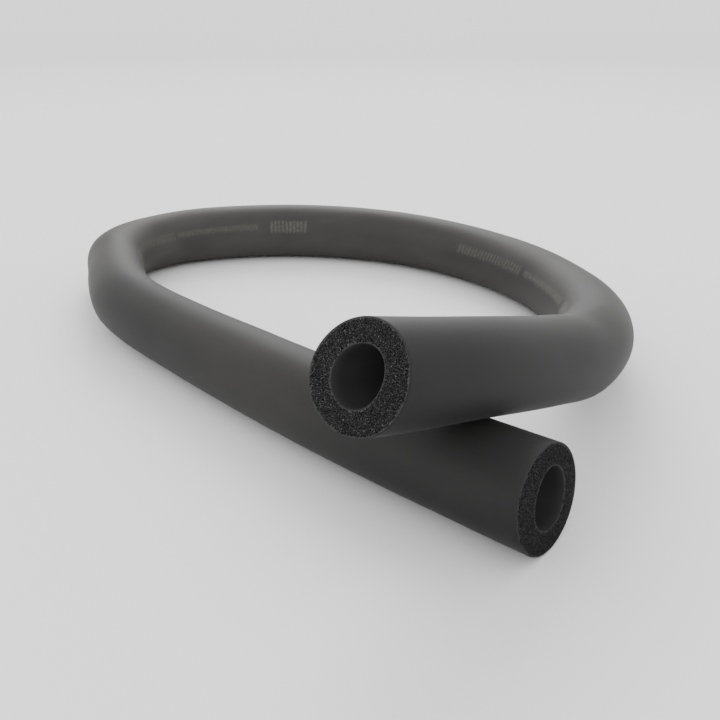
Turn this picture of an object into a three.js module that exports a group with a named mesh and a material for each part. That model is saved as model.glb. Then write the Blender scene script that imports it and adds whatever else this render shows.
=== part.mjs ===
import * as THREE from "three";

// A 2 m length of foam rubber pipe insulation, lying on a floor in one loose loop.
// Millimetres, with Z up. X points along the lower end, out of its mouth.

// The stock. The bore lies a little off centre, towards the inside of the loop.
const TUBE_LENGTH = 2000;
const BORE_DIAMETER = 40;
const WALL = 16.5;
const BORE_OFFSET = 3;

// How it lies, followed from the lower end. Each run is a share of the tube's length, and
// bends evenly to the right by so many degrees.
const RUNS = [
  { share: 0.235, turn: 10.5 },
  { share: 0.1175, turn: 33 },
  { share: 0.0725, turn: 75.5 },
  { share: 0.275, turn: 88 },
  { share: 0.1925, turn: 70.5 },
];
// The rest, up to the upper end, is almost straight.
const TAIL_RADIUS = 1530;
// One run eases into the next over this length, as the foam can't change its bend at once.
const EASING = 90;
// The upper end leaves the floor this far before it crosses the lower end.
const LIFT_LENGTH = 430;
// What is left between the two where they cross.
const REST_GAP = 0.3;

// The cuts are a little off square. Each face leans this many degrees up and to its left.
const LOWER_CUT = { up: 11, left: -8 };
const UPPER_CUT = { up: 14, left: 10 };

// How finely the surface is cut into flats, and the step in which the way is walked.
const PATH_STEPS = 84;
const OUTER_SIDES = 28;
const BORE_SIDES = 20;
const WALK_STEP = 1;

const OUTER_RADIUS = BORE_DIAMETER / 2 + WALL;

// The angle turned to the right by a given distance, before any easing.
function turned(distance) {
  let angle = 0;
  let left = Math.max(distance, 0);
  for (const run of RUNS) {
    const length = run.share * TUBE_LENGTH;
    const used = Math.min(left, length);
    angle += THREE.MathUtils.degToRad((run.turn * used) / length);
    left -= used;
  }
  return angle + left / TAIL_RADIUS;
}

// The same angle, averaged over the easing length round that distance.
function easedTurn(distance) {
  const samples = 12;
  let sum = 0;
  for (let i = 0; i < samples; i++) {
    sum += turned(distance + ((i + 0.5) / samples - 0.5) * EASING);
  }
  return sum / samples;
}

// The way the centre line takes seen from above, one step at a time.
function layPlan() {
  const plan = [new THREE.Vector2(0, 0)];
  for (let at = WALK_STEP / 2; at < TUBE_LENGTH; at += WALK_STEP) {
    const heading = Math.PI - easedTurn(at);
    const step = new THREE.Vector2(Math.cos(heading), Math.sin(heading));
    plan.push(step.multiplyScalar(WALK_STEP).add(plan[plan.length - 1]));
  }
  return plan;
}

// Where the last third of the plan passes over the first third, and at what angle.
function findCrossing(plan) {
  const third = Math.round(plan.length / 3);
  let best = { apart: Infinity };
  for (let under = 0; under < third; under++) {
    for (let over = 2 * third; over < plan.length; over++) {
      const apart = plan[under].distanceTo(plan[over]);
      if (apart < best.apart) best = { apart, under, over };
    }
  }
  const under = best.under * WALK_STEP;
  const over = best.over * WALK_STEP;
  return { over, angle: easedTurn(over) - easedTurn(under) };
}

// The rise of the centre line at the crossing, so that the upper end rests on the lower.
function riseAtCrossing(angle) {
  const apart = 2 * OUTER_RADIUS + REST_GAP;
  let rise = apart;
  for (let i = 0; i < 30; i++) {
    const slope = (1.5 * rise) / LIFT_LENGTH;
    rise = apart * Math.hypot(1, slope / Math.sin(angle));
  }
  return rise;
}

// The height of the centre line: flat, then sprung up from the floor, then straight.
function heightAt(distance, crossing, rise) {
  const t = 1 + (distance - crossing.over) / LIFT_LENGTH;
  if (t <= 0) return OUTER_RADIUS;
  if (t <= 1) return OUTER_RADIUS + (rise * (3 * t * t - t * t * t)) / 2;
  return OUTER_RADIUS + rise * (1 + 1.5 * (t - 1));
}

// The centre line itself, as long as the tube.
class CentreLine extends THREE.Curve {
  constructor() {
    super();
    const plan = layPlan();
    const crossing = findCrossing(plan);
    const rise = riseAtCrossing(crossing.angle);
    this.points = plan.map((p, i) => {
      return new THREE.Vector3(p.x, p.y, heightAt(i * WALK_STEP, crossing, rise));
    });
    this.reach = [0];
    for (let i = 1; i < this.points.length; i++) {
      const step = this.points[i].distanceTo(this.points[i - 1]);
      this.reach.push(this.reach[i - 1] + step);
    }
  }

  getPoint(t, target = new THREE.Vector3()) {
    const wanted = t * TUBE_LENGTH;
    let low = 0;
    let high = this.reach.length - 1;
    while (high - low > 1) {
      const middle = (low + high) >> 1;
      if (this.reach[middle] <= wanted) low = middle;
      else high = middle;
    }
    const share = (wanted - this.reach[low]) / (this.reach[high] - this.reach[low]);
    return target.lerpVectors(this.points[low], this.points[high], share);
  }
}

// The points of a circle in the section, which is moved along its Y.
function circle(radius, sides, middle) {
  const points = [];
  for (let i = 0; i < sides; i++) {
    const angle = (2 * Math.PI * i) / sides;
    points.push(new THREE.Vector2(radius * Math.cos(angle), middle + radius * Math.sin(angle)));
  }
  return points;
}

// The section. Along the tube its X points down and its Y to the outside of the loop.
function sectionShape() {
  const section = new THREE.Shape(circle(OUTER_RADIUS, OUTER_SIDES, 0));
  const bore = circle(BORE_DIAMETER / 2, BORE_SIDES, -BORE_OFFSET);
  section.holes.push(new THREE.Path(bore.reverse()));
  return section;
}

// Slides the points of one end along the tube, so that its cut leans.
function leanCut(geometry, line, t, cut) {
  const end = line.getPoint(t);
  const outward = line.getTangent(t).multiplyScalar(t > 0.5 ? 1 : -1);
  const left = new THREE.Vector3(0, 0, 1).cross(outward).normalize();
  const up = outward.clone().cross(left);
  const upSlope = Math.tan(THREE.MathUtils.degToRad(cut.up));
  const leftSlope = Math.tan(THREE.MathUtils.degToRad(cut.left));
  const position = geometry.getAttribute("position");
  const point = new THREE.Vector3();
  for (let i = 0; i < position.count; i++) {
    point.fromBufferAttribute(position, i).sub(end);
    if (Math.abs(point.dot(outward)) > WALK_STEP || point.length() > 1.1 * OUTER_RADIUS) continue;
    point.addScaledVector(outward, -upSlope * point.dot(up) - leftSlope * point.dot(left));
    point.add(end);
    position.setXYZ(i, point.x, point.y, point.z);
  }
}

const line = new CentreLine();
const tube = new THREE.ExtrudeGeometry(sectionShape(), {
  steps: PATH_STEPS,
  curveSegments: 1,
  bevelEnabled: false,
  extrudePath: line,
});
leanCut(tube, line, 0, LOWER_CUT);
leanCut(tube, line, 1, UPPER_CUT);

// The origin is the middle of the footprint, on the floor.
tube.computeBoundingBox();
const middle = tube.boundingBox.getCenter(new THREE.Vector3());
tube.translate(-middle.x, -middle.y, -tube.boundingBox.min.z);
tube.computeVertexNormals();

const foam = new THREE.MeshStandardMaterial({ color: 0x474543, roughness: 0.85, metalness: 0 });
const mesh = new THREE.Mesh(tube, foam);
mesh.name = "insulation_tube";

const root = new THREE.Group();
root.name = "pipe_insulation_lagging";
root.add(mesh);

export default root;
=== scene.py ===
import math

import bpy
import numpy as np
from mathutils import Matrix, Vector
from mathutils.geometry import delaunay_2d_cdt


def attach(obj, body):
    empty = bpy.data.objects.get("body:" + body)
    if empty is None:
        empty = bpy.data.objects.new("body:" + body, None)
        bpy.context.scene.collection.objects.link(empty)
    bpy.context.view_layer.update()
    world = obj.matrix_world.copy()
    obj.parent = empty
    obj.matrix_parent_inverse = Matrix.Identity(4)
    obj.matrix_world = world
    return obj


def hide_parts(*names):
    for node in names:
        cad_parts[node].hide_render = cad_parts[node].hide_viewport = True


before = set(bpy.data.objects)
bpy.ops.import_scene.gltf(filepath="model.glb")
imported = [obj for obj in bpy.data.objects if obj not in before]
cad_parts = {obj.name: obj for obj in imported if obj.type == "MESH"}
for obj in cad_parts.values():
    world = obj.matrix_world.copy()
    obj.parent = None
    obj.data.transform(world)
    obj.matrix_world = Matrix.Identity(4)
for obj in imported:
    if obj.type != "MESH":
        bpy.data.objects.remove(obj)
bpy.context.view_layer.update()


# The viewpoint. The camera stands a little less than half a metre in front of the two ends,
# about 0.3 m above the floor, and looks down across the loop.
LOOK_DOWN = 25.77
LOOK_LEFT = 36.98


def add_object(name, data):
    """A new object of the scene that holds the given data."""
    thing = bpy.data.objects.new(name, data)
    bpy.context.scene.collection.objects.link(thing)
    return thing


camera_data = bpy.data.cameras.new("viewpoint")
camera_data.sensor_width = 36.0
camera_data.lens = 34.43
camera_data.clip_start = 0.01
camera = add_object("viewpoint", camera_data)
camera.location = (0.4904, -0.5707, 0.3192)
camera.rotation_euler = (math.radians(90 - LOOK_DOWN), 0.0, math.radians(LOOK_LEFT))
bpy.context.scene.camera = camera


# The lagging tube. It is one 2 m length of closed-cell foam rubber, extruded with a smooth
# skin outside and in the bore, and cut across with a knife at both ends. It is made straight,
# as it left the die, and then laid along the loose loop that it lies in.
TUBE_LENGTH = 2.0
BORE_RADIUS = 0.020
WALL = 0.0165
BORE_OFFSET = 0.003
OUTER_RADIUS = BORE_RADIUS + WALL

# How it lies, from the lower end: shares of its length, each bending right by so many degrees.
RUNS = ((0.235, 10.5), (0.1175, 33.0), (0.0725, 75.5), (0.275, 88.0), (0.1925, 70.5))
# The rest of it bends round this radius.
TAIL_RADIUS = 1.53
# One bend eases into the next over this length.
EASING = 0.09
EASING_SAMPLES = 12
# The upper end leaves the floor this far before the crossing, and keeps this gap there.
LIFT_LENGTH = 0.43
REST_GAP = 0.0003
RISE_ROUNDS = 30
# The route is walked in these steps, told by so many stations, and led on past both ends.
ROUTE_STEP = 0.001
ROUTE_STATIONS = 801
LEAD_IN = 0.03


def turned(distance):
    """The heading change to the right, in radians, before any easing."""
    angle, left = 0.0, max(distance, 0.0)
    for share, turn in RUNS:
        used = min(left, share * TUBE_LENGTH)
        angle += math.radians(turn) * used / (share * TUBE_LENGTH)
        left -= used
    return angle + left / TAIL_RADIUS


def eased_turn(distance):
    """The same heading change, averaged over the easing length."""
    shifts = [((i + 0.5) / EASING_SAMPLES - 0.5) * EASING for i in range(EASING_SAMPLES)]
    return sum(turned(distance + shift) for shift in shifts) / len(shifts)


def lay_route():
    """The tube's centre line from the lower end to the upper, with a straight lead at each end."""
    steps = round(TUBE_LENGTH / ROUTE_STEP)
    headings = np.array([math.pi - eased_turn((i + 0.5) * ROUTE_STEP) for i in range(steps)])
    walk = np.column_stack([np.cos(headings), np.sin(headings)]) * ROUTE_STEP
    plan = np.vstack([[0.0, 0.0], np.cumsum(walk, axis=0)])

    third = round(len(plan) / 3)
    first, last = plan[:third], plan[2 * third:]
    apart = np.hypot(*(first[:, None] - last[None]).transpose(2, 0, 1))
    under, over = np.unravel_index(apart.argmin(), apart.shape)
    over += 2 * third
    angle = eased_turn(over * ROUTE_STEP) - eased_turn(under * ROUTE_STEP)
    rise = apart_up = 2 * OUTER_RADIUS + REST_GAP
    for _ in range(RISE_ROUNDS):
        rise = apart_up * math.hypot(1, 1.5 * rise / LIFT_LENGTH / math.sin(angle))

    t = 1 + (np.arange(len(plan)) - over) * ROUTE_STEP / LIFT_LENGTH
    sprung = (3 * t * t - t**3) / 2
    climb = np.where(t <= 0, 0.0, np.where(t <= 1, sprung, 1 + 1.5 * (t - 1)))
    line = np.column_stack([plan, OUTER_RADIUS + rise * climb])

    reach = np.concatenate([[0.0], np.cumsum(np.linalg.norm(np.diff(line, axis=0), axis=1))])
    stations = np.linspace(0.0, TUBE_LENGTH, ROUTE_STATIONS)
    line = np.column_stack([np.interp(stations, reach, line[:, k]) for k in range(3)])
    start, end = line[0] - line[1], line[-1] - line[-2]
    lead = LEAD_IN / np.linalg.norm(start)
    return np.vstack([line[0] + start * lead, line, line[-1] + end * lead])


route_points = lay_route()
route_curve = bpy.data.curves.new("tube_route", "CURVE")
route_curve.dimensions = "3D"
route_spline = route_curve.splines.new("POLY")
route_spline.points.add(len(route_points) - 1)
route_spline.points.foreach_set(
    "co", np.column_stack([route_points, np.ones(len(route_points))]).ravel()
)
route = add_object("tube_route", route_curve)

# How the foam gives. At each station, in millimetres: how wide and how high the tube is
# beside its true section, and how far it strays outwards and up from its route.
GIVE = (
    (0, 1.070, 1.070, 4.0, 0.0), (70, 1.057, 1.044, 1.8, 0.0), (180, 1.057, 1.061, 1.0, 0.0),
    (300, 1.044, 1.045, 0.1, 0.0), (400, 1.022, 1.014, 0.3, 0.0), (480, 1.020, 1.006, 1.9, 0.0),
    (540, 1.008, 1.005, 3.0, 0.0), (590, 0.963, 1.000, 0.4, 0.0), (640, 0.935, 1.003, -0.6, 0.0),
    (665, 0.940, 1.005, 0.8, 0.0), (700, 0.975, 1.025, 5.2, 0.0), (740, 1.006, 1.030, 1.9, 0.0),
    (800, 1.028, 1.030, -5.9, 0.0), (880, 1.039, 1.053, -7.2, 0.0), (980, 1.038, 1.055, -7.4, 0.0),
    (1100, 1.037, 1.054, -7.5, 0.0), (1220, 1.022, 1.025, -4.0, 0.0),
    (1340, 1.012, 0.995, -1.2, 0.0), (1460, 1.011, 1.004, 2.1, 0.0),
    (1540, 1.007, 1.014, 2.5, 0.5), (1640, 0.999, 1.012, 0.7, -0.2),
    (1695, 0.988, 1.008, 0.9, -0.9), (1745, 0.988, 1.012, 1.0, -3.8),
    (1785, 0.982, 0.986, 0.4, -0.9), (1896, 0.974, 0.954, -0.7, 0.8),
    (2000, 0.968, 0.954, -0.4, 1.2),
)
# It is read every so many millimetres, from a little before the tube to a little past it, and
# smoothed over so many of these readings.
GIVE_STEP = 2.0
GIVE_PAST = 40
GIVE_BLEND = 23
# Up to here the tube lies on the floor, and from here it is off it in so many millimetres.
FLOOR_END = 1400
FLOOR_FREE = 100

# The straight stock, with X along it, Y to the outside of the loop and Z up. Near its mouths
# the bore is cut as finely along its way as the skin. Each rim is rounded in two flats.
SKIN_SIDES = 132
BORE_SIDES = 84
SKIN_STEP = 0.006
BORE_STEP = 0.024
MOUTH_LENGTH = 0.15
RIM_ROUND = 0.0004
RIM_BEND = 0.293 * RIM_ROUND
# What a face of the stock belongs to.
ON_SKIN, ON_CUT, ON_BORE = range(3)
# The cells in the cuts: how far apart, in rows how close, how far off their grid, how deep.
CELL_PITCH = 0.0012
CELL_ROWS = 0.866 * CELL_PITCH
CELL_STRAY = 0.38
CELL_DEPTH = 0.0009
CELL_SEED = 20
# How near to the skins the walls between the cells come, the pits, and the painted bright walls.
WALL_MARGIN = 0.0008
PIT_MARGIN = 0.0014
BRIGHT_MARGIN = 0.0016
# How bright the walls are painted, how much brighter the few painted glints are, and their share.
WALL_SHINE = 0.62
GLINT_SHINE = 0.38
GLINT_SHARE = 0.03
# How bright the skins' cut edges are painted, as a painted highlight, and the lower cut's
# painted glints and foam beside the upper cut's.
RIM_SHINE = 0.34
LOWER_SHINE = 0.55
LOWER_SHADE = 0.74
# What is off true at a mouth fades out over this length.
MOUTH_FADE = 0.13
# The two mouths: station, which way out, how much longer than true, and the knife's lean up
# and to its left. Then, for the skin and for the bore, how far each is off its true circle:
# larger, outwards, up, and the second and third waves round it (cosine, sine, cosine, sine).
MOUTHS = (
    (0.0, -1, 0.0012, 10.2, -4.8,
     (0.010, -0.0002, 0.0007, 0.022, 0.010, -0.002, -0.001),
     (-0.035, 0.0001, -0.0006, -0.045, -0.048, 0.014, -0.010)),
    (TUBE_LENGTH, 1, -0.0004, 13.2, 9.1,
     (0.014, -0.0008, -0.0012, 0.017, -0.020, -0.009, -0.015),
     (-0.024, 0.0018, -0.0009, -0.027, -0.001, -0.017, -0.004)),
)


def ring(radius, sides, middle):
    """The corners (y, z) of one ring round the tube, with its middle told along Y."""
    angle = np.arange(sides) * 2 * math.pi / sides
    return np.column_stack([middle + radius * np.cos(angle), radius * np.sin(angle)])


def with_rims(inner):
    """Stations along the tube, each with how far its ring is drawn in by the rounded rim."""
    rim = [(0.0, RIM_ROUND), (RIM_BEND, RIM_BEND), (RIM_ROUND, 0.0)]
    middle = [(s, 0.0) for s in inner if 3 * RIM_ROUND < s < TUBE_LENGTH - 3 * RIM_ROUND]
    return rim + middle + [(TUBE_LENGTH - s, inset) for s, inset in reversed(rim)]


def within_wall(points, margin):
    """Which of the points lie in the foam, by more than the margin from skin and bore."""
    away = np.hypot(points[:, 0], points[:, 1])
    from_bore = np.hypot(points[:, 0] + BORE_OFFSET, points[:, 1])
    return (away < OUTER_RADIUS - margin) & (from_bore > BORE_RADIUS + 0.8 * margin)


def cut_face(generator, outer, bore):
    """The knife cut through the foam: points (y, z), depths, painted glints and triangles, rims
    first.
    """
    rows = int(OUTER_RADIUS / CELL_ROWS) + 2
    row, column = np.mgrid[-rows:rows + 1, -rows:rows + 1].reshape(2, -1)
    centres = np.column_stack([(column + 0.5 * (row % 2)) * CELL_PITCH, row * CELL_ROWS])
    centres += generator.uniform(-CELL_STRAY, CELL_STRAY, centres.shape) * CELL_PITCH
    centres = centres[within_wall(centres, 0.0)]

    # The walls between the cells meet at the middles of the circles through three centres.
    found = delaunay_2d_cdt([Vector(p) for p in centres], [], [], 0, 1e-9)
    corners = np.array([[found[0][i][:] for i in face] for face in found[2]])
    a, b, c = corners[:, 0], corners[:, 1] - corners[:, 0], corners[:, 2] - corners[:, 0]
    twice = 2 * (b[:, 0] * c[:, 1] - b[:, 1] * c[:, 0])
    bb, cc = (b * b).sum(1), (c * c).sum(1)
    junctions = a + np.column_stack([
        (c[:, 1] * bb - b[:, 1] * cc) / twice,
        (b[:, 0] * cc - c[:, 0] * bb) / twice,
    ])
    junctions = junctions[np.hypot(*(junctions - a).T) < CELL_PITCH]
    # The foam is dense and whole next to its skins.
    junctions = junctions[within_wall(junctions, WALL_MARGIN)]
    centres = centres[within_wall(centres, PIT_MARGIN)]

    points = np.vstack([outer, bore, centres, junctions])
    rims, size = np.zeros(len(outer) + len(bore)), len(junctions)
    # Painted glints: how bright each wall is painted.
    bright = generator.uniform(0.0, WALL_SHINE, size)
    bright += GLINT_SHINE * (generator.uniform(0, 1, size) > 1 - GLINT_SHARE)
    depths = np.concatenate([
        rims,
        CELL_DEPTH * generator.uniform(0.3, 1.0, len(centres)),
        generator.uniform(-0.1, 0.12, size) * CELL_DEPTH,
    ])
    painted_glints = np.concatenate([
        rims + RIM_SHINE,
        np.zeros(len(centres)),
        np.where(within_wall(junctions, BRIGHT_MARGIN), bright, RIM_SHINE),
    ])
    loops = [(i, (i + 1) % len(outer)) for i in range(len(outer))]
    loops += [(len(outer) + i, len(outer) + (i + 1) % len(bore)) for i in range(len(bore))]
    found = delaunay_2d_cdt([Vector(p) for p in points], loops, [], 0, 1e-9)
    bore_reach = (BORE_RADIUS + RIM_ROUND) * math.cos(math.pi / len(bore))
    triangles = []
    for face in found[2]:
        face = [found[3][i][0] for i in face]
        y, z = points[face].mean(axis=0)
        if math.hypot(y + BORE_OFFSET, z) > bore_reach:
            triangles.append(face)
    return points, depths, painted_glints, triangles


def straight_stock():
    """Vertices, their hollow and painted glint, faces, and what each face belongs to."""
    vertices, hollow, glint, faces, surfaces = [], [], [], [], []

    def add_wall(stations, radius, sides, middle, outward):
        """Adds one skin, facing outward or inward, and tells where its end rings start."""
        first = len(vertices)
        for station, inset in stations:
            for y, z in ring(radius - inset if outward else radius + inset, sides, middle):
                vertices.append((station, y, z))
                hollow.append(0.0)
                glint.append(0.0)
        for i in range(len(stations) - 1):
            for j in range(sides):
                a = first + i * sides + j
                b = first + i * sides + (j + 1) % sides
                quad = (a, b, b + sides, a + sides)
                faces.append(quad if outward else quad[::-1])
                surfaces.append(ON_SKIN if outward else ON_BORE)
        return first, first + (len(stations) - 1) * sides

    skin_stations = with_rims(np.arange(SKIN_STEP, TUBE_LENGTH, SKIN_STEP))
    mouth = np.arange(SKIN_STEP, MOUTH_LENGTH, SKIN_STEP)
    deep = np.arange(MOUTH_LENGTH, TUBE_LENGTH - MOUTH_LENGTH, BORE_STEP)
    bore_stations = with_rims([*mouth, *deep, *(TUBE_LENGTH - mouth[::-1])])
    skin_ends = add_wall(skin_stations, OUTER_RADIUS, SKIN_SIDES, 0.0, True)
    bore_ends = add_wall(bore_stations, BORE_RADIUS, BORE_SIDES, -BORE_OFFSET, False)

    generator = np.random.default_rng(CELL_SEED)
    outer = ring(OUTER_RADIUS - RIM_ROUND, SKIN_SIDES, 0.0)
    bore = ring(BORE_RADIUS + RIM_ROUND, BORE_SIDES, -BORE_OFFSET)
    for end in (0, 1):
        points, depths, painted_glints, triangles = cut_face(generator, outer, bore)
        known = [skin_ends[end] + i for i in range(SKIN_SIDES)]
        known += [bore_ends[end] + i for i in range(BORE_SIDES)]
        shine = LOWER_SHINE if end == 0 else 1.0
        for i in known:
            glint[i] = shine * painted_glints[0]
        for i in range(len(known), len(points)):
            known.append(len(vertices))
            vertices.append((end * TUBE_LENGTH + (1 - 2 * end) * depths[i], *points[i]))
            hollow.append(max(depths[i] / CELL_DEPTH, 0.0))
            glint.append(shine * painted_glints[i])
        for triangle in triangles:
            a, b, c = points[triangle]
            turn = (b[0] - a[0]) * (c[1] - a[1]) - (b[1] - a[1]) * (c[0] - a[0])
            face = [known[i] for i in triangle]
            faces.append(face if (turn > 0) == (end == 1) else face[::-1])
            surfaces.append(ON_CUT)
    return np.array(vertices), hollow, glint, faces, surfaces


def off_true(places, radius, middle, larger, outwards, up, c2, s2, c3, s3):
    """How far a ring through each place strays from its true circle, as (y, z) moves."""
    turn = np.arctan2(places[:, 2], places[:, 1] - middle)
    waves = larger + c2 * np.cos(2 * turn) + s2 * np.sin(2 * turn)
    waves += c3 * np.cos(3 * turn) + s3 * np.sin(3 * turn)
    moves = radius * waves[:, None] * np.column_stack([np.cos(turn), np.sin(turn)])
    return moves + (outwards, up)


def given_way(places):
    """The stock once the knife's lean and the foam's give are on it."""
    places = places.copy()
    from_bore = np.hypot(places[:, 1] + BORE_OFFSET, places[:, 2]) - BORE_RADIUS
    from_skin = OUTER_RADIUS - np.hypot(places[:, 1], places[:, 2])
    through = np.clip(from_bore / (from_bore + from_skin), 0, 1)[:, None]
    for station, outward, longer, up, left, skin_shape, bore_shape in MOUTHS:
        near = np.clip(1 - np.abs(places[:, 0] - station) / MOUTH_FADE, 0, 1)
        near = near * near * (3 - 2 * near)
        moves = through * off_true(places, OUTER_RADIUS, 0.0, *skin_shape)
        moves += (1 - through) * off_true(places, BORE_RADIUS, -BORE_OFFSET, *bore_shape)
        places[:, 1:] += near[:, None] * moves
        lean = math.tan(math.radians(up)) * places[:, 2]
        lean += outward * math.tan(math.radians(left)) * places[:, 1]
        places[:, 0] += near * outward * (longer - lean)
    give = np.array(GIVE)
    reach = np.arange(-GIVE_PAST, 1000 * TUBE_LENGTH + GIVE_PAST + 1, GIVE_STEP)
    kernel = np.hanning(GIVE_BLEND) / np.hanning(GIVE_BLEND).sum()
    stations = np.clip(places[:, 0] * 1000, 0, 1000 * TUBE_LENGTH)
    read = []
    for column in give.T[1:]:
        padded = np.pad(np.interp(reach, give[:, 0], column), GIVE_BLEND // 2, "edge")
        read.append(np.interp(stations, reach, np.convolve(padded, kernel, "valid")))
    width, height, outwards, up = read
    places[:, 1] = places[:, 1] * width + outwards / 1000
    # Where it lies on the floor, its own height lifts it.
    rests = np.clip((FLOOR_END + FLOOR_FREE - stations) / FLOOR_FREE, 0, 1)
    places[:, 2] = places[:, 2] * height + up / 1000 + rests * OUTER_RADIUS * (height - 1)
    return places


stock_places, hollow, glint, stock_faces, surfaces = straight_stock()
stock = bpy.data.meshes.new("foam_tube")
stock.from_pydata(given_way(stock_places).tolist(), [], [list(f) for f in stock_faces])
stock.polygons.foreach_set("use_smooth", [True] * len(stock.polygons))
for name, kind, field, values in (
    ("stock_place", "FLOAT_VECTOR", "vector", stock_places.ravel()),
    ("hollow", "FLOAT", "value", hollow),
    ("glint", "FLOAT", "value", glint),
):
    stock.attributes.new(name, kind, "POINT").data.foreach_set(field, values)
stock.attributes.new("surface", "INT", "FACE").data.foreach_set("value", surfaces)
foam_tube = add_object("foam_tube", stock)


# The skin: closed, matt and a little velvety, lighter along the loop with dust and with painted
# light, faint lines left by the die, and a worn row of plain ink bars along the inside of the
# loop.
# Dust and painted light: shares of the length, and how far towards the lighter colour it is there.
DUST_AND_PAINTED_LIGHT = (
    (0.0, 0.03), (0.06, 0.10), (0.125, 0.27), (0.25, 0.11), (0.325, 0.50), (0.40, 0.96),
    (0.46, 0.98), (0.50, 0.70), (0.60, 0.55), (0.70, 0.57), (0.80, 0.32), (0.90, 0.17),
    (0.97, 0.0),
)
# Ink: how often it repeats, where one repeat starts, how far round from the inside of the
# loop it lies at the lower end, how far it turns in a metre, and how soft its edge is.
INK_PERIOD = 0.635
INK_START = 1.307
INK_TURN = math.radians(12.5)
INK_TWIST = math.radians(10)
INK_EDGE = 0.0040


def grow(tree, kind, inputs=None, **settings):
    """A new node with its settings, and its inputs given as constants or as other sockets."""
    node = tree.nodes.new(kind)
    for name, value in settings.items():
        setattr(node, name, value)
    for name, value in (inputs or {}).items():
        if isinstance(value, bpy.types.NodeSocket):
            tree.links.new(value, node.inputs[name])
        else:
            node.inputs[name].default_value = value
    return node


def new_material(name, **looks):
    """A material, its tree and its shader with the given constants."""
    material = bpy.data.materials.new(name)
    material.use_nodes = True
    shader = material.node_tree.nodes["Principled BSDF"]
    for socket, value in looks.items():
        shader.inputs[socket.replace("_", " ")].default_value = value
    return material, material.node_tree, shader


def calculate(tree, operation, a, b=0.0, c=0.0, clamp=False):
    """One sum with numbers."""
    inputs = {0: a, 1: b, 2: c}
    return grow(tree, "ShaderNodeMath", inputs, operation=operation, use_clamp=clamp).outputs[0]


def stretched(tree, vector, by):
    """The vector with each axis times its own number."""
    node = grow(tree, "ShaderNodeVectorMath", {0: vector, 1: by}, operation="MULTIPLY")
    return node.outputs[0]


def scaled(tree, vector, by):
    """The vector or colour times one number."""
    node = grow(tree, "ShaderNodeVectorMath", {0: vector, "Scale": by}, operation="SCALE")
    return node.outputs[0]


def carried(tree, name, output="Fac"):
    """What the stock's own attribute of that name says."""
    return grow(tree, "ShaderNodeAttribute", attribute_name=name).outputs[output]


def noise(tree, vector, scale, detail):
    """Soft noise from 0 to 1."""
    inputs = {"Vector": vector, "Scale": scale, "Detail": detail}
    return grow(tree, "ShaderNodeTexNoise", inputs).outputs[0]


def ramp(tree, value, *stops, interpolation="LINEAR"):
    """A colour read from stops, each a position and its colour."""
    node = grow(tree, "ShaderNodeValToRGB", {0: value})
    node.color_ramp.interpolation = interpolation
    elements = node.color_ramp.elements
    while len(elements) < len(stops):
        elements.new(0.5)
    for element, (position, colour) in zip(elements, stops):
        element.position, element.color = position, (*colour, 1)
    return node.outputs["Color"]


def blended(tree, share, a, b):
    """The first colour, with the given share of the second."""
    node = grow(tree, "ShaderNodeMix", {0: share}, data_type="RGBA")
    for socket, value in ((node.inputs[6], a), (node.inputs[7], b)):
        if isinstance(value, bpy.types.NodeSocket):
            tree.links.new(value, socket)
        else:
            socket.default_value = value
    return node.outputs[2]


def roughen(tree, shader, *layers):
    """Relief too fine for the mesh, in layers: the height's noise, how strong, how deep."""
    normal = {}
    for height, strength, depth in layers:
        inputs = {"Height": height, "Strength": strength, "Distance": depth, **normal}
        normal = {"Normal": grow(tree, "ShaderNodeBump", inputs).outputs[0]}
    tree.links.new(normal["Normal"], shader.inputs["Normal"])


skin, tree, shader = new_material(
    "foam_skin", Roughness=0.6, Specular_IOR_Level=0.18, Sheen_Weight=0.03, Sheen_Roughness=0.4
)
place = carried(tree, "stock_place", "Vector")
parts = grow(tree, "ShaderNodeSeparateXYZ", {0: place}).outputs
clouds = noise(tree, stretched(tree, place, (0.35, 1, 1)), 16.0, 4.0)
clean = ramp(
    tree, clouds, (0.34, (0.0095, 0.0094, 0.0094)), (0.66, (0.0135, 0.0133, 0.0131)),
)
dusty_and_painted_light = ramp(
    tree, clouds, (0.34, (0.0500, 0.0472, 0.0450)), (0.66, (0.0740, 0.0694, 0.0658)),
)
along = calculate(tree, "DIVIDE", parts[0], TUBE_LENGTH)
# Partly dust and partly painted light: the skin is lighter about the middle of its length.
dust_and_painted_light = ramp(tree, along, *((at, (share, share, share)) for at, share in DUST_AND_PAINTED_LIGHT))
rubber = blended(tree, dust_and_painted_light, clean, dusty_and_painted_light)
# Painted light and shade: at both ends the top is painted lighter and the underside darker.
painted_shade_ends = ramp(
    tree, along, (0.0, (1, 1, 1)), (0.15, (0, 0, 0)), (0.84, (0, 0, 0)), (0.92, (1, 1, 1)),
)
# Painted shade: the colour is scaled by height, lighter above the middle and darker below it.
height = calculate(tree, "MULTIPLY", calculate(tree, "DIVIDE", parts[2], OUTER_RADIUS), painted_shade_ends)
rubber = scaled(tree, rubber, calculate(tree, "MULTIPLY_ADD", height, 0.75, 1.0))
turn = calculate(tree, "ARCTAN2", parts[2], calculate(tree, "MULTIPLY", parts[1], -1.0))
twist = calculate(tree, "MULTIPLY_ADD", parts[0], INK_TWIST, INK_TURN)
arc = calculate(tree, "MULTIPLY", calculate(tree, "SUBTRACT", turn, twist), OUTER_RADIUS)
along_ink = calculate(tree, "ADD", parts[0], 3 * INK_PERIOD - INK_START)
share = calculate(tree, "FRACT", calculate(tree, "DIVIDE", along_ink, INK_PERIOD))
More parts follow.
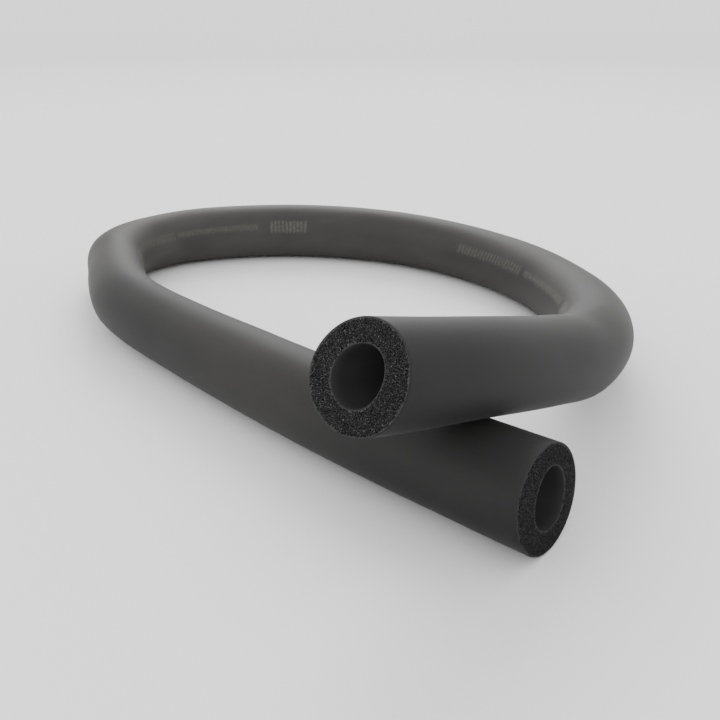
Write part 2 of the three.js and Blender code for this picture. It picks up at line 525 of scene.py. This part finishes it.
# Each stretch of ink: half its height in centimetres, bars to the millimetre, and how strong.
legend = ramp(
    tree, share,
    (0.0, (0.75, 0.160, 0.45)), (0.209, (0, 0, 0)), (0.219, (0.56, 0.45, 0.62)),
    (0.446, (0, 0, 0)), (0.477, (1.0, 0.160, 0.72)), (0.576, (0, 0, 0)),
    interpolation="CONSTANT",
)
legend = grow(tree, "ShaderNodeSeparateColor", {0: legend}).outputs
bars = calculate(tree, "MULTIPLY", calculate(tree, "MULTIPLY", along_ink, 1000.0), legend[1])
bars = calculate(tree, "SUBTRACT", calculate(tree, "FRACT", bars), 0.5)
bars = calculate(tree, "ABSOLUTE", bars)
bars = calculate(tree, "MULTIPLY_ADD", bars, -2.4, 1.3, clamp=True)
half_height = calculate(tree, "MULTIPLY", legend[0], 0.01)
edge = calculate(tree, "SUBTRACT", half_height, calculate(tree, "ABSOLUTE", arc))
inked = calculate(tree, "MULTIPLY", bars, calculate(tree, "DIVIDE", edge, INK_EDGE, clamp=True))
worn = noise(tree, place, 330.0, 3.0)
worn = calculate(tree, "MULTIPLY_ADD", worn, 2.2, -0.5, clamp=True)
ink_share = calculate(tree, "MULTIPLY", calculate(tree, "MULTIPLY", inked, worn), legend[2])
rubber = blended(tree, ink_share, rubber, (0.125, 0.122, 0.104, 1))
tree.links.new(rubber, shader.inputs["Base Color"])
streaks = noise(tree, stretched(tree, place, (0.012, 1, 1)), 620.0, 2.0)
pebble = noise(tree, place, 1100.0, 3.0)
roughen(tree, shader, (streaks, 0.35, 0.00012), (pebble, 0.5, 0.00016))

# The cut: every cell the knife opened is a pit, painted darker the deeper it is as painted shade,
# and some of the torn walls are painted bright as painted glints. The skins at the outside and in
# the bore show as narrow smooth borders, their cut edges painted lighter as a painted highlight.
cut_foam, tree, shader = new_material("cut_foam", Roughness=0.5, Specular_IOR_Level=0.05)
place = carried(tree, "stock_place", "Vector")
# Painted shade: each pit's colour darkens with its depth.
foam = ramp(
    tree, carried(tree, "hollow"), (0.0, (0.0285, 0.0283, 0.0287)),
    (0.35, (0.0075, 0.0075, 0.0077)), (0.8, (0.0006, 0.0006, 0.0006)),
)
# Painted glints: lit walls and the skins' cut edges are mixed towards pale grey.
lit = calculate(tree, "POWER", carried(tree, "glint"), 2.2)
lit = calculate(tree, "MULTIPLY_ADD", lit, 1.25, -0.05, clamp=True)
foam = blended(tree, lit, foam, (0.17, 0.17, 0.175, 1))
along = grow(tree, "ShaderNodeSeparateXYZ", {0: place}).outputs[0]
shade = calculate(tree, "MULTIPLY_ADD", along, (1 - LOWER_SHADE) / TUBE_LENGTH, LOWER_SHADE)
tree.links.new(scaled(tree, foam, shade), shader.inputs["Base Color"])
roughen(tree, shader, (noise(tree, place, 2600.0, 2.0), 0.5, 0.0002))

# The bore's own skin, left by the mandrel: the same rubber, painted lighter deeper in as painted
# light against the shade there. The painted light starts this far behind a cut, and is whole after
# this length.
PAINTED_LIGHT_START = 0.008
PAINTED_LIGHT_FADE = 0.06
bore_skin, tree, shader = new_material("bore_skin", Roughness=0.7, Specular_IOR_Level=0.1)
place = carried(tree, "stock_place", "Vector")
parts = grow(tree, "ShaderNodeSeparateXYZ", {0: place}).outputs
clouds = noise(tree, stretched(tree, place, (0.1, 1, 1)), 60.0, 3.0)
clean = ramp(tree, clouds, (0.3, (0.0220, 0.0220, 0.0221)), (0.7, (0.0270, 0.0270, 0.0270)))
painted_lighter = ramp(tree, clouds, (0.3, (0.080, 0.080, 0.080)), (0.7, (0.100, 0.100, 0.099)))
from_end = calculate(tree, "MINIMUM", parts[0], calculate(tree, "SUBTRACT", TUBE_LENGTH, parts[0]))
deeper = calculate(tree, "SUBTRACT", from_end, PAINTED_LIGHT_START)
deeper = calculate(tree, "DIVIDE", deeper, PAINTED_LIGHT_FADE, clamp=True)
# Painted light: deeper in, the bore's colour turns lighter.
tree.links.new(blended(tree, deeper, clean, painted_lighter), shader.inputs["Base Color"])
streaks = noise(tree, stretched(tree, place, (0.012, 1, 1)), 900.0, 2.0)
roughen(tree, shader, (streaks, 0.4, 0.00015))

# The laying: the straight stock is carried along the route, so that its own X runs along
# the route, its Y lies level to the outside and its Z leans up. On its way the skin gets a
# slight unevenness, outwards from the tube's own middle.
RIPPLE_HEIGHT = 0.0009
RIPPLE_SCALE = 22.0
# Where the route starts, from the middle of the footprint.
ROUTE_START = (0.366807, -0.198963, 0.0)

lay = bpy.data.node_groups.new("lay_tube_along_route", "GeometryNodeTree")
for name, kind in (
    ("Stock", "NodeSocketGeometry"),
    ("Route", "NodeSocketObject"),
    ("Lead In", "NodeSocketFloat"),
    ("Ripple Height", "NodeSocketFloat"),
    ("Ripple Scale", "NodeSocketFloat"),
    ("Skin", "NodeSocketMaterial"),
    ("Cut Foam", "NodeSocketMaterial"),
    ("Bore Skin", "NodeSocketMaterial"),
):
    lay.interface.new_socket(name, in_out="INPUT", socket_type=kind)
lay.interface.new_socket("Laid Tube", in_out="OUTPUT", socket_type="NodeSocketGeometry")


def vector_math(operation, a, b=(0.0, 0.0, 0.0)):
    """One sum with vectors."""
    node = grow(lay, "ShaderNodeVectorMath", {0: a, 1: b}, operation=operation)
    return node.outputs["Vector"]


given = grow(lay, "NodeGroupInput").outputs
place = grow(lay, "GeometryNodeInputPosition").outputs[0]
ripple = noise(lay, stretched(lay, place, (0.45, 1.0, 1.0)), given["Ripple Scale"], 2.0)
swell = calculate(lay, "MULTIPLY", calculate(lay, "SUBTRACT", ripple, 0.5), given["Ripple Height"])
radial = vector_math("NORMALIZE", stretched(lay, place, (0.0, 1.0, 1.0)))
uneven = vector_math("ADD", place, scaled(lay, radial, swell))
uneven = grow(lay, "ShaderNodeSeparateXYZ", {0: uneven}).outputs
way = grow(lay, "GeometryNodeObjectInfo", {"Object": given["Route"]}, transform_space="ORIGINAL")
station = calculate(lay, "ADD", uneven[0], given["Lead In"])
along = grow(lay, "GeometryNodeSampleCurve", {
    "Curves": way.outputs["Geometry"], "Length": station}, mode="LENGTH").outputs
outwards = vector_math("NORMALIZE", vector_math("CROSS_PRODUCT", along["Tangent"], (0, 0, -1)))
upwards = vector_math("CROSS_PRODUCT", along["Tangent"], outwards)
across = vector_math("ADD", scaled(lay, outwards, uneven[1]), scaled(lay, upwards, uneven[2]))
laid = grow(lay, "GeometryNodeSetPosition", {
    "Geometry": given["Stock"], "Position": vector_math("ADD", along["Position"], across)})
laid = grow(lay, "GeometryNodeRealizeInstances", {"Geometry": laid.outputs[0]})
surface = grow(lay, "GeometryNodeInputNamedAttribute", {"Name": "surface"}, data_type="INT")
for number, name in ((ON_SKIN, "Skin"), (ON_CUT, "Cut Foam"), (ON_BORE, "Bore Skin")):
    same = grow(lay, "FunctionNodeCompare", {2: surface.outputs[0], 3: number},
                data_type="INT", operation="EQUAL")
    laid = grow(lay, "GeometryNodeSetMaterial", {
        "Geometry": laid.outputs[0], "Selection": same.outputs[0], "Material": given[name]})
grow(lay, "NodeGroupOutput", {"Laid Tube": laid.outputs[0]})

laying = foam_tube.modifiers.new("laying", "NODES")
laying.node_group = lay
items = [item for item in lay.interface.items_tree if item.in_out == "INPUT"]
sockets = {item.name: item.identifier for item in items}
for name, value in (
    ("Route", route),
    ("Lead In", LEAD_IN),
    ("Ripple Height", RIPPLE_HEIGHT),
    ("Ripple Scale", RIPPLE_SCALE),
    ("Skin", skin),
    ("Cut Foam", cut_foam),
    ("Bore Skin", bore_skin),
):
    laying[sockets[name]] = value

graph = bpy.context.evaluated_depsgraph_get()
laid = bpy.data.meshes.new_from_object(
    foam_tube.evaluated_get(graph), preserve_all_data_layers=True, depsgraph=graph
)
foam_tube.modifiers.clear()
foam_tube.data = laid
bpy.data.objects.remove(route)

# It is moved to the middle of its footprint, and stood on the floor.
places = np.empty(len(laid.vertices) * 3)
laid.vertices.foreach_get("co", places)
places = places.reshape(-1, 3) + ROUTE_START
places[:, 2] -= places[:, 2].min()
laid.vertices.foreach_set("co", places.ravel())
laid.update()

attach(foam_tube, "root")
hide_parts("insulation_tube")


# The studio: a plain pale floor that reaches the horizon, under soft light from all round.
# More of it comes low from behind, and a little from the left.
FLOOR_RADIUS = 60.0
FLOOR_SIDES = 180
# Beyond this distance the floor darkens a little, over this length, and so meets the horizon
# without a line.
FLOOR_NEAR = 2.0
FLOOR_FADE = 6.0
AIR_STRENGTH = 1.52

floor_mesh = bpy.data.meshes.new("studio_floor")
corners = [(x, y, 0.0) for x, y in ring(FLOOR_RADIUS, FLOOR_SIDES, 0.0)]
floor_mesh.from_pydata(corners, [], [list(range(FLOOR_SIDES))])
floor = add_object("studio_floor", floor_mesh)
pale, tree, shader = new_material("pale_floor", Roughness=0.9)
away = grow(tree, "ShaderNodeTexCoord").outputs["Object"]
away = grow(tree, "ShaderNodeVectorMath", {0: away}, operation="LENGTH").outputs["Value"]
far = calculate(tree, "SUBTRACT", away, FLOOR_NEAR)
far = calculate(tree, "DIVIDE", far, FLOOR_FADE, clamp=True)
paint = ramp(tree, far, (0.0, (0.87, 0.87, 0.87)), (1.0, (0.698, 0.698, 0.698)))
tree.links.new(paint, shader.inputs["Base Color"])
floor_mesh.materials.append(pale)

world = bpy.data.worlds.new("studio_air")
world.use_nodes = True
air = world.node_tree.nodes["Background"].inputs
air["Color"].default_value = (1, 1, 1, 1)
air["Strength"].default_value = AIR_STRENGTH
bpy.context.scene.world = world

# Each soft light: how far left of straight ahead, how high, how strong and how wide.
look = math.radians(LOOK_LEFT)
ahead = Vector((-math.sin(look), math.cos(look), 0.0))
aside = Vector((ahead.y, -ahead.x, 0.0))
for name, around, high, strength, width in (
    ("low_behind", 0, 34, 2.2, 34),
    ("from_left", 78, 30, 0.45, 60),
):
    lamp_data = bpy.data.lights.new(name, "SUN")
    lamp_data.energy = strength
    lamp_data.angle = math.radians(width)
    lamp = add_object(name, lamp_data)
    around, high = math.radians(around), math.radians(high)
    toward = ahead * math.cos(around) - aside * math.sin(around)
    toward = toward * math.cos(high) + Vector((0, 0, math.sin(high)))
    lamp.rotation_euler = toward.to_track_quat("Z", "Y").to_euler()
